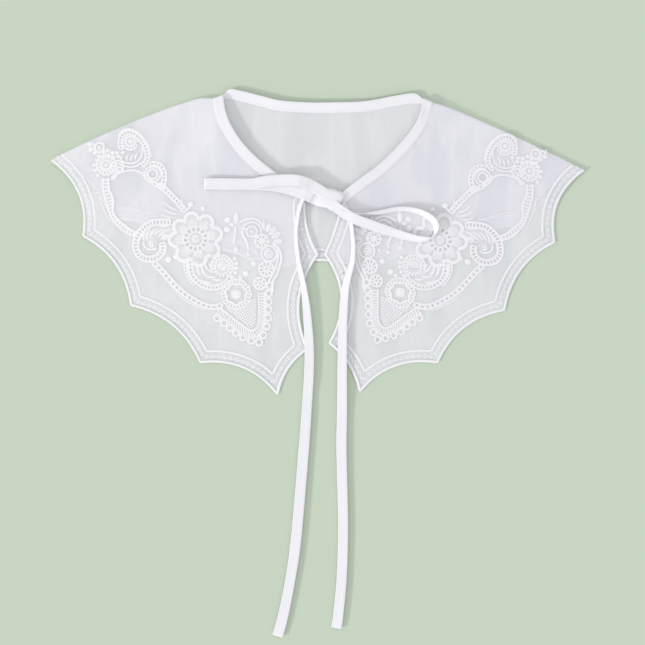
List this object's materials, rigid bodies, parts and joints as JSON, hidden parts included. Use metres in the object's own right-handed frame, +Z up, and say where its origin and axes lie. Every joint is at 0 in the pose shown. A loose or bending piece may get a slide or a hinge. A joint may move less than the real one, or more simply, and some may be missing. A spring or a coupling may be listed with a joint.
{
  "type": "lace collar",
  "caption": "Detachable sheer collar laid flat: scalloped fronts folded over a scalloped back, raised thread motifs, ribbon neck binding tied in a bow with long ends.",
  "frame": {"origin": "middle of the whole laid-out collar, on the surface it lies on", "axes": "+Z up from the surface, +Y towards the back of the neck, +X to the right as seen from above with the ties hanging towards the viewer"},
  "size_m": [0.4686, 0.4806, 0.0144],
  "materials": {
    "organza": "sheer",
    "ribbon": "satin",
    "thread": "satin"
  },
  "bodies": {
    "root": {"bow_knot": "ribbon", "bow_loop_left": "ribbon", "bow_loop_right": "ribbon", "collar_body": "organza", "motif_left_band_inner": "thread", "motif_left_band_outer": "thread", "motif_left_band_stem": "thread", "motif_left_flower_eyelet": "thread", "motif_left_flower_large": "thread", "motif_left_flower_open": "thread", "motif_left_flower_small": "thread", "motif_left_net_drop": "thread", "motif_left_rosette_high": "thread", "motif_left_rosette_low": "thread", "motif_left_rosette_mid": "thread", "motif_left_rosette_ring": "thread", "motif_left_rosette_tip": "thread", "motif_left_rosette_top": "thread", "motif_left_scroll_lower": "thread", "motif_left_scroll_tip": "thread", "motif_left_scroll_upper": "thread", "motif_right_band_inner": "thread", "motif_right_band_outer": "thread", "motif_right_band_stem": "thread", "motif_right_flower_eyelet": "thread", "motif_right_flower_large": "thread", "motif_right_flower_open": "thread", "motif_right_flower_small": "thread", "motif_right_net_drop": "thread", "motif_right_rosette_high": "thread", "motif_right_rosette_low": "thread", "motif_right_rosette_mid": "thread", "motif_right_rosette_ring": "thread", "motif_right_rosette_tip": "thread", "motif_right_rosette_top": "thread", "motif_right_scroll_lower": "thread", "motif_right_scroll_tip": "thread", "motif_right_scroll_upper": "thread", "neck_binding": "ribbon", "tie_tail_left": "ribbon", "tie_tail_right": "ribbon"}
  },
  "joints": []
}
